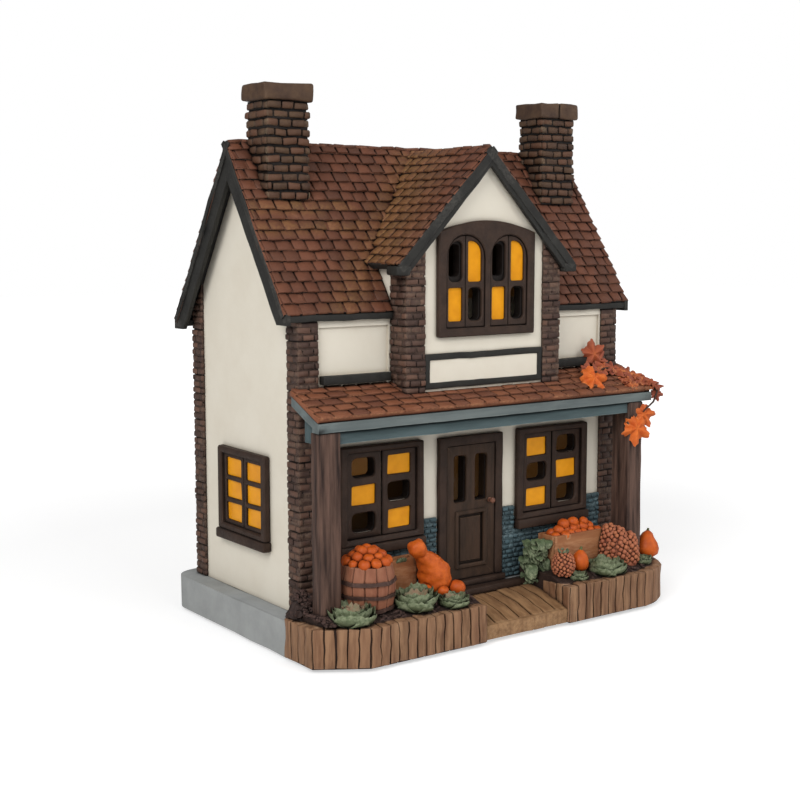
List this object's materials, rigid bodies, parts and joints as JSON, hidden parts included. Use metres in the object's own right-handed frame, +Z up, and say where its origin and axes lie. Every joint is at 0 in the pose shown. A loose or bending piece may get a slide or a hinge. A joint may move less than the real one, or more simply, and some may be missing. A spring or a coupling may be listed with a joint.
{
  "type": "harvest cottage figurine",
  "caption": "Battery-lit resin cottage with tiled roof, front dormer, brick chimneys, covered porch and a fenced yard heaped with pumpkins, gourds and cabbages.",
  "frame": {"origin": "bottom centre of the base, on the surface that the feet stand on", "axes": "+X to the right seen from the front, +Y to the back, +Z up"},
  "size_m": [0.193, 0.129, 0.228],
  "materials": {
    "grey_resin": "matte grey paint on cast resin",
    "rubber": "matte black",
    "soil": "dark brown paint on rough cast resin",
    "fence": "tan paint with dark wash",
    "walk": "tan paint with dark wash",
    "dark_trim": "dark green-black paint",
    "cream": "warm cream paint",
    "brick": "purple-brown brick paint, dry-brushed",
    "blue_brick": "blue-grey brick paint",
    "roof_tile": "reddish-brown tile paint with ochre dry-brush",
    "gutter": "grey-blue paint",
    "beam": "teal-grey paint",
    "post": "purple-brown wood-grain paint",
    "joinery": "dark brown paint",
    "amber": "translucent amber",
    "barrel": "stave paint with dark hoops",
    "crate": "terracotta tan paint",
    "orange": "orange paint with brown wash",
    "gourd": "ochre paint",
    "green": "green paint with pink-tan hearts",
    "leaf": "orange and red paint",
    "black_plastic": "moulded black",
    "cell": "plain silver jacket",
    "contact": "spring brass",
    "cover": "moulded cream",
    "steel": "plated steel",
    "board": "green board",
    "lamp": "diffused warm white",
    "wire": "insulated wire"
  },
  "bodies": {
    "house": {"base_plinth": "grey_resin", "rubber_feet": "rubber", "soil_beds": "soil", "left_fence": "fence", "right_fence": "fence", "walkway": "walk", "door_step": "joinery", "front_wall": "cream", "back_wall": "cream", "left_gable_wall": "cream", "right_gable_wall": "cream", "front_pillars": "brick", "back_pillars": "brick", "porch_wainscot": "blue_brick", "upper_sills": "dark_trim", "front_left_roof": "roof_tile", "front_right_roof": "roof_tile", "back_roof": "roof_tile", "gable_barge_boards": "dark_trim", "eave_boards": "dark_trim", "dormer_walls": "cream", "dormer_left_pier": "brick", "dormer_right_pier": "brick", "dormer_left_roof": "roof_tile", "dormer_right_roof": "roof_tile", "dormer_barge_boards": "dark_trim", "dormer_window": "joinery", "sign_frame": "joinery", "sign_panel": "cream", "left_chimney_stack": "brick", "right_chimney_stack": "brick", "chimney_caps": "brick", "porch_roof": "roof_tile", "porch_gutter": "gutter", "porch_beam": "beam", "left_porch_post": "post", "right_porch_post": "post", "front_windows": "joinery", "side_windows": "joinery", "amber_panes": "amber", "door_frame": "joinery", "front_door": "joinery", "barrel": "barrel", "barrel_pumpkins": "orange", "crates": "crate", "crate_fruit": "orange", "crookneck_gourd": "gourd", "cabbages": "green", "loose_gourds": "orange", "leaf_spray": "leaf", "battery_box": "black_plastic", "batteries": "cell", "battery_contacts": "contact", "switch_body": "black_plastic", "lamp_board": "board", "lamp": "lamp", "lamp_wires": "wire"},
    "battery_cover": {"battery_cover": "cover"},
    "cover_screw": {"cover_screw": "steel"},
    "switch_slider": {"switch_slider": "black_plastic"}
  },
  "joints": [
    {"name": "cover_pull", "type": "slide", "parent": "house", "child": "battery_cover", "axis": [0, 1, 0], "range_m": [0, 0.03]},
    {"name": "screw_turn", "type": "hinge", "parent": "battery_cover", "child": "cover_screw", "pos_m": [0.02535, 0.056, 0.0366], "axis": [0, 1, 0], "continuous": true},
    {"name": "switch_slide", "type": "slide", "parent": "house", "child": "switch_slider", "axis": [1, 0, 0], "range_m": [0, 0.004]}
  ]
}
